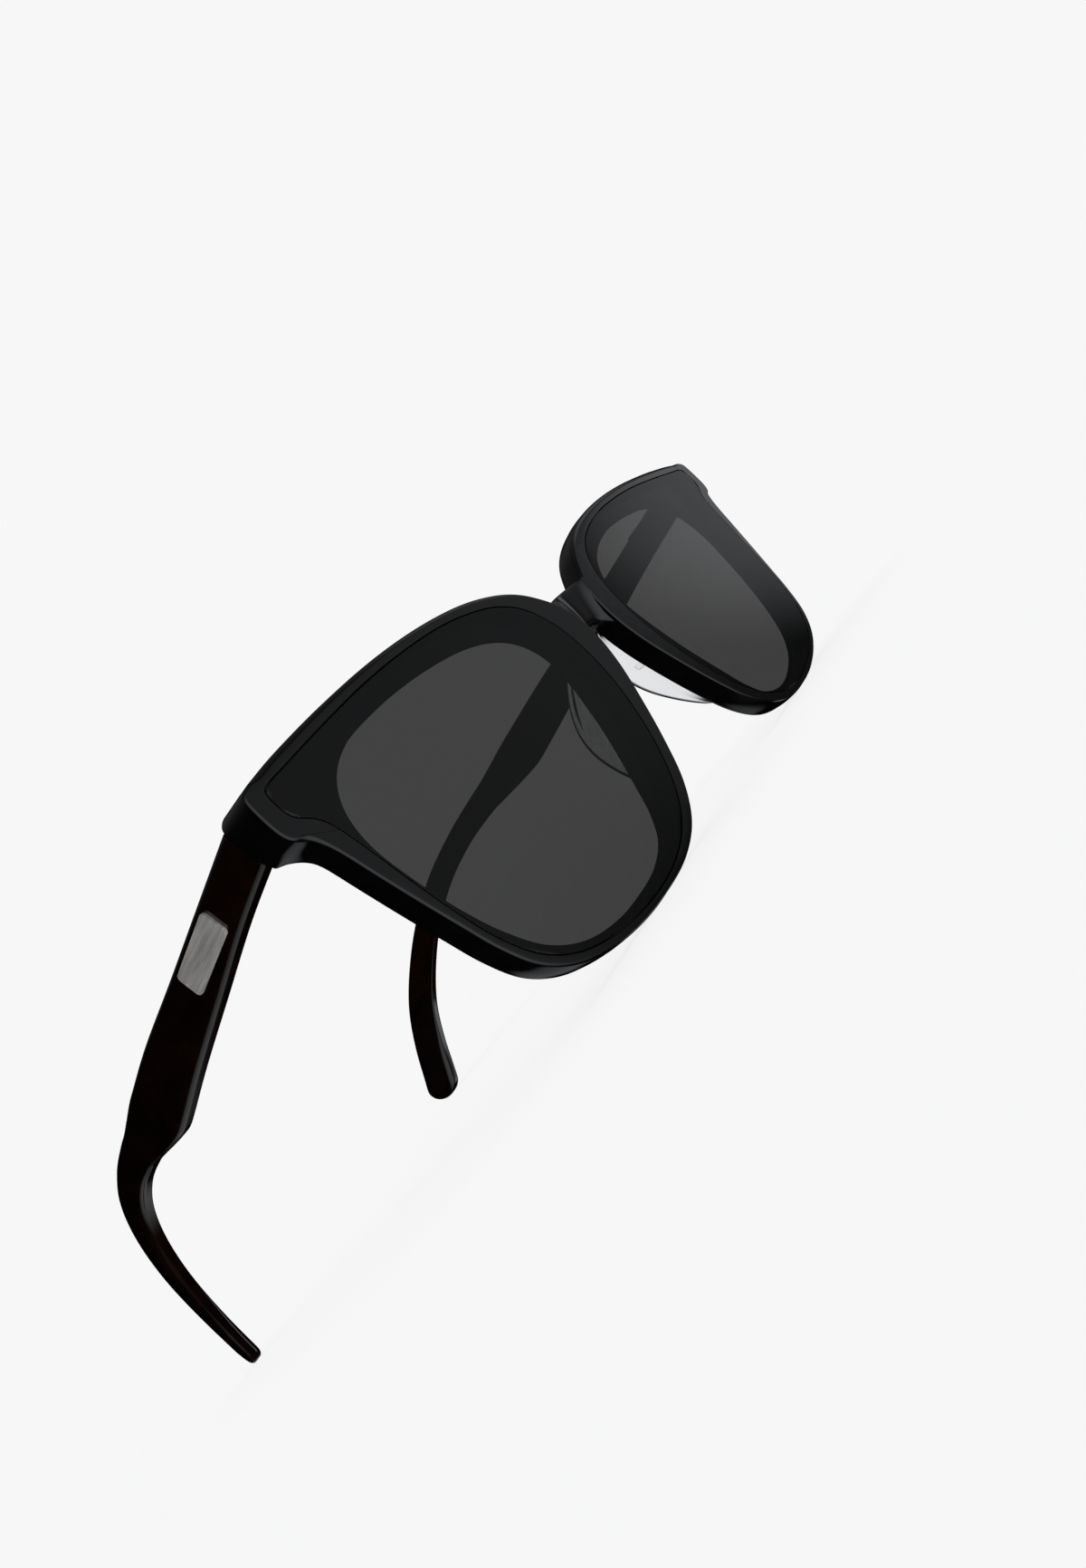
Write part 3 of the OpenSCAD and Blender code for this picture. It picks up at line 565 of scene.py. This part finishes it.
# Materials
def set_all(node, **values):
    """Sets inputs by name, with _ for each space in it."""
    for key, value in values.items():
        node.inputs[key.replace("_", " ")].default_value = value


class Look:
    """A principled material with its nodes, to build on."""

    def __init__(self, name, **sockets):
        self.mat = bpy.data.materials.new(name)
        self.mat.use_nodes = True
        self.tree = self.mat.node_tree
        self.shader = self.tree.nodes["Principled BSDF"]
        self.place = self.tree.nodes.new("ShaderNodeTexCoord").outputs["Object"]
        set_all(self.shader, **sockets)

    def noise(self, scale, detail, rough=0.5, stretch=(1, 1, 1), warp=0.0):
        shift, node = (self.tree.nodes.new(f"ShaderNode{kind}") for kind in ("Mapping", "TexNoise"))
        set_all(shift, Scale=stretch)
        set_all(node, Scale=scale, Detail=detail, Roughness=rough, Distortion=warp)
        self.tree.links.new(self.place, shift.inputs["Vector"])
        self.tree.links.new(shift.outputs["Vector"], node.inputs["Vector"])
        return node.outputs["Fac"]

    def colours(self, fac, stops):
        """Base colour from noise, through a ramp of (place, colour) stops."""
        ramp = self.tree.nodes.new("ShaderNodeValToRGB")
        ends = ramp.color_ramp.elements
        for end, (at, colour) in ((ends[0], stops[0]), (ends[1], stops[-1])):
            end.position, end.color = at, (*colour, 1)
        for at, colour in stops[1:-1]:
            ends.new(at).color = (*colour, 1)
        self.tree.links.new(fac, ramp.inputs["Fac"])
        self.tree.links.new(ramp.outputs["Color"], self.shader.inputs["Base Color"])

    def roughness(self, fac, low, high):
        span = self.tree.nodes.new("ShaderNodeMapRange")
        set_all(span, From_Min=0.3, From_Max=0.7, To_Min=low, To_Max=high)
        self.tree.links.new(fac, span.inputs["Value"])
        self.tree.links.new(span.outputs["Result"], self.shader.inputs["Roughness"])

    def bump(self, fac, depth, strength):
        node = self.tree.nodes.new("ShaderNodeBump")
        set_all(node, Distance=depth, Strength=strength)
        self.tree.links.new(fac, node.inputs["Height"])
        self.tree.links.new(node.outputs["Normal"], self.shader.inputs["Normal"])


def black_plastic():
    look = Look("polished_black_acetate", IOR=1.5, Coat_Weight=0.3, Coat_Roughness=0.04)
    look.colours(look.noise(260, 5, 0.6, warp=0.6),
                 [(.3, (.0010, .0010, .0011)), (.7, (.0024, .0023, .0024))])
    look.roughness(look.noise(900, 4, 0.6), 0.07, 0.13)
    look.bump(look.noise(150, 2, 0.4), 0.00001, 0.35)
    return look.mat


def brown_plastic():
    look = Look("dark_brown_acetate", IOR=1.5, Coat_Weight=0.3, Coat_Roughness=0.05)
    look.colours(look.noise(110, 6, 0.62, stretch=(1, 0.45, 1), warp=1.4),
                 [(.32, (.0014, .0007, .0005)), (.5, (.0032, .0012, .0008)),
                  (.68, (.0062, .0021, .0012))])
    look.roughness(look.noise(800, 4, 0.6), 0.09, 0.16)
    look.bump(look.noise(120, 2, 0.4), 0.000012, 0.35)
    return look.mat


def tinted_lens():
    look = Look("grey_tinted_lens", IOR=1.5, Alpha=0.78)
    look.colours(look.noise(40, 2), [(.3, (.0016, .0018, .0018)), (.7, (.0026, .0028, .0028))])
    look.roughness(look.noise(500, 3), 0.02, 0.045)
    look.bump(look.noise(70, 1, 0.3), 0.000004, 0.25)
    return look.mat


def clear_plastic(name, bend):
    look = Look(name, IOR=bend, Transmission_Weight=1.0)
    look.colours(look.noise(160, 3), [(.3, (.90, .92, .94)), (.7, (.96, .97, .98))])
    look.roughness(look.noise(600, 3), 0.0, 0.015)
    look.bump(look.noise(240, 1, 0.3), 0.000003, 0.2)
    return look.mat


def metal(name, dark, light, low, high, grain, share=1.0):
    """Metal with its grain drawn out along y, from dark to light and low to high roughness."""
    look = Look(name, Metallic=share)
    look.colours(look.noise(grain, 4, 0.6, stretch=(1, 0.12, 3)), [(.3, dark), (.7, light)])
    look.roughness(look.noise(grain * 1.6, 4, 0.6, stretch=(1, 0.1, 3)), low, high)
    look.bump(look.noise(grain * 2, 3, 0.6, stretch=(1, 0.08, 3)), 0.000006, 0.3)
    return look.mat


BLACK, BROWN, TINT = black_plastic(), brown_plastic(), tinted_lens()
CLEAR = clear_plastic("clear_pad_plastic", 1.46)
PEG = clear_plastic("clear_peg_plastic", 1.03)
STEEL = metal("brushed_hinge_steel", (.42, .42, .43), (.60, .60, .61), 0.22, 0.36, 900)
SCREW = metal("turned_screw_steel", (.50, .50, .50), (.68, .67, .66), 0.16, 0.28, 1400)
SILVER = metal("plain_silver_plate", (.50, .48, .46), (.92, .89, .85), 0.24, 0.38, 700, 0.5)
SMOOTH_LIMIT, BEVEL_LIMIT = math.radians(32), math.radians(40)


def wear(obj, mat):
    obj.data.materials.clear()
    obj.data.materials.append(mat)


def smooth_faces():
    """Node group that shades faces smooth and keeps the sharper edges sharp."""
    group = bpy.data.node_groups.new("smooth_faces", "GeometryNodeTree")
    for way in ("INPUT", "OUTPUT"):
        group.interface.new_socket("Geometry", in_out=way, socket_type="NodeSocketGeometry")
    start, end = group.nodes.new("NodeGroupInput"), group.nodes.new("NodeGroupOutput")
    faces, edges = (group.nodes.new("GeometryNodeSetShadeSmooth") for _ in range(2))
    faces.domain, edges.domain = "FACE", "EDGE"
    angle = group.nodes.new("GeometryNodeInputMeshEdgeAngle")
    compare = group.nodes.new("FunctionNodeCompare")
    compare.data_type, compare.operation = "FLOAT", "LESS_THAN"
    compare.inputs[1].default_value = SMOOTH_LIMIT
    group.links.new(angle.outputs["Unsigned Angle"], compare.inputs[0])
    group.links.new(start.outputs[0], faces.inputs["Geometry"])
    group.links.new(faces.outputs[0], edges.inputs["Geometry"])
    group.links.new(compare.outputs[0], edges.inputs["Shade Smooth"])
    group.links.new(edges.outputs[0], end.inputs[0])
    return group


SMOOTH = smooth_faces()


def dressed(node, mat, bevel):
    """A CAD node kept as it is, with its edges broken, smooth shading and a material."""
    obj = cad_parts[node]
    weld = obj.modifiers.new("weld", "WELD")
    weld.merge_threshold = NODE_WELD
    edge = obj.modifiers.new("edges", "BEVEL")
    edge.width, edge.segments = bevel * MM, 2
    edge.limit_method, edge.angle_limit = "ANGLE", BEVEL_LIMIT
    edge.use_clamp_overlap = True
    shade = obj.modifiers.new("smooth", "NODES")
    shade.node_group = SMOOTH
    shade_evenly(obj)
    wear(obj, mat)


for obj, mat in [(front, BLACK)] + [(t, BROWN) for t in temples] + [(p, CLEAR) for p in pads]:
    wear(obj, mat)
for word, _ in SIDES:
    for node, mat, bevel in (
            ("lens", TINT, 0.04), ("front_hinge", STEEL, 0.08), ("temple_hinge", STEEL, 0.08),
            ("hinge_screw", SCREW, 0.05), ("hinge_rivets", SCREW, 0.08), ("pad_peg", PEG, 0.08),
            ("core_wire", STEEL, 0.08), ("plaque", SILVER, 0.2)):
        dressed(f"{word}_{node}", mat, bevel)

# Floor: pale, and left out of reflections and of what is seen through the clear pads
FLOOR_HALF, FLOOR_GLOW = 6, 0.825
corners = [(x * FLOOR_HALF, y * FLOOR_HALF, 0) for x, y in ((-1, -1), (1, -1), (1, 1), (-1, 1))]
floor_mesh = bpy.data.meshes.new("floor")
floor_mesh.from_pydata(corners, [], [(0, 1, 2, 3)])
floor = bpy.data.objects.new("floor", floor_mesh)
scene.collection.objects.link(floor)
pale = Look("pale_floor", Specular_IOR_Level=0.0, Emission_Color=(1, 1, 1, 1),
            Emission_Strength=FLOOR_GLOW)
pale.colours(pale.noise(30, 3), [(.3, (.34, .34, .34)), (.7, (.36, .36, .36))])
pale.roughness(pale.noise(60, 3), 0.85, 0.95)
wear(floor, pale.mat)
floor.visible_glossy = floor.visible_transmission = False

# World: even white to the camera, and soft patches of studio light to all that it lights.
# Each patch is (direction, angle where it starts, angle where it is full, strength).
WHITE, COOL_LIGHT = (1, 1, 1, 1), (0.93, 0.96, 1.0, 1)
BACKGROUND = 0.93
ABOVE_LOW, ABOVE_HIGH, ABOVE = 0.2, 0.75, 0.075
PATCHES = [
    ((0.79, -0.60, 0.10), 60, 36, 0.025),     # front left, wide
    ((0.807, -0.586, 0.07), 19, 5, 0.16),     # front left, its middle
    ((0.970, -0.242, 0.035), 9, 2, 0.42),     # left
    ((0.858, -0.312, 0.407), 16, 6, 0.25),    # left and high
    ((-0.25, -0.93, -0.26), 66, 6, 0.85),     # front, very wide
    ((-0.32, -0.44, -0.84), 32, 14, 0.10),    # below the front
    ((0.70, -0.13, -0.70), 11, 5, 1.0),       # low on the left
    ((0.314, 0.778, -0.545), 22, 8, 0.2),     # low at the back
    ((0.0, 0.25, -0.97), 24, 10, 0.04)]       # straight below
BEHIND = (0.78, 0.62, 0.0), 38, 20, 1.0       # what shows white through the clear pads

world = bpy.data.worlds.new("studio")
scene.world = world
world.use_nodes = True
nodes, links = world.node_tree.nodes, world.node_tree.links
nodes.clear()
path = nodes.new("ShaderNodeLightPath")
direction = nodes.new("ShaderNodeTexCoord").outputs["Generated"]


def combined(kind, first, second):
    node = nodes.new("ShaderNodeMath")
    node.operation = kind
    links.new(first, node.inputs[0])
    links.new(second, node.inputs[1])
    return node.outputs["Value"]


def softly(value, low, high, peak):
    """From 0 to peak as the value goes from low to high."""
    node = nodes.new("ShaderNodeMapRange")
    node.interpolation_type = "SMOOTHSTEP"
    set_all(node, From_Min=low, From_Max=high, To_Min=0, To_Max=peak)
    links.new(value, node.inputs["Value"])
    return node.outputs["Result"]


def glow(aim, edge, core, peak):
    """A soft patch of light round a direction."""
    dot = nodes.new("ShaderNodeVectorMath")
    dot.operation = "DOT_PRODUCT"
    dot.inputs[1].default_value = Vector(aim).normalized()
    links.new(direction, dot.inputs[0])
    low, high = (math.cos(math.radians(angle)) for angle in (edge, core))
    return softly(dot.outputs["Value"], low, high, peak)


split = nodes.new("ShaderNodeSeparateXYZ")
links.new(direction, split.inputs["Vector"])
total = softly(split.outputs["Z"], ABOVE_LOW, ABOVE_HIGH, ABOVE)
for patch in PATCHES:
    total = combined("ADD", total, glow(*patch))
seen, lit = (nodes.new("ShaderNodeBackground") for _ in range(2))
mix, out = nodes.new("ShaderNodeMixShader"), nodes.new("ShaderNodeOutputWorld")
set_all(seen, Color=WHITE, Strength=BACKGROUND)
set_all(lit, Color=COOL_LIGHT)
links.new(total, lit.inputs["Strength"])
behind = combined("MULTIPLY", path.outputs["Is Transmission Ray"], glow(*BEHIND))
links.new(combined("MAXIMUM", path.outputs["Is Camera Ray"], behind), mix.inputs["Fac"])
links.new(lit.outputs["Background"], mix.inputs[1])
links.new(seen.outputs["Background"], mix.inputs[2])
links.new(mix.outputs["Shader"], out.inputs["Surface"])

# Overhead sun, wide and soft, which shows in no reflection
SUN_PLACE, SUN_TARGET = Vector((0, 0, 900)), Vector((60, 40, 0))
SUN_STRENGTH, SUN_SPREAD = 0.6, math.radians(60)
sky = bpy.data.lights.new("overhead", "SUN")
sky.energy, sky.angle = SUN_STRENGTH, SUN_SPREAD
overhead = bpy.data.objects.new("overhead", sky)
overhead.location = SUN_PLACE * MM
overhead.rotation_mode = "QUATERNION"
overhead.rotation_quaternion = (SUN_TARGET - SUN_PLACE).to_track_quat("-Z", "Y")
overhead.visible_glossy = False
scene.collection.objects.link(overhead)

# Camera at the photo's viewing angle, in millimetres
CAMERA_PLACE = Vector((-164.009, -159.045, 11.238))
CAMERA_TURN = Quaternion((0.4151456, 0.7256224, -0.0174364, -0.5484726))
camera_data = bpy.data.cameras.new("camera")
camera_data.sensor_width, camera_data.lens = 36.0, 30.661
camera_data.shift_y = -0.0012
camera_data.clip_start, camera_data.clip_end = 0.01, 20
camera = bpy.data.objects.new("camera", camera_data)
camera.location = CAMERA_PLACE * MM
camera.rotation_mode = "QUATERNION"
camera.rotation_quaternion = CAMERA_TURN
scene.collection.objects.link(camera)
scene.camera = camera
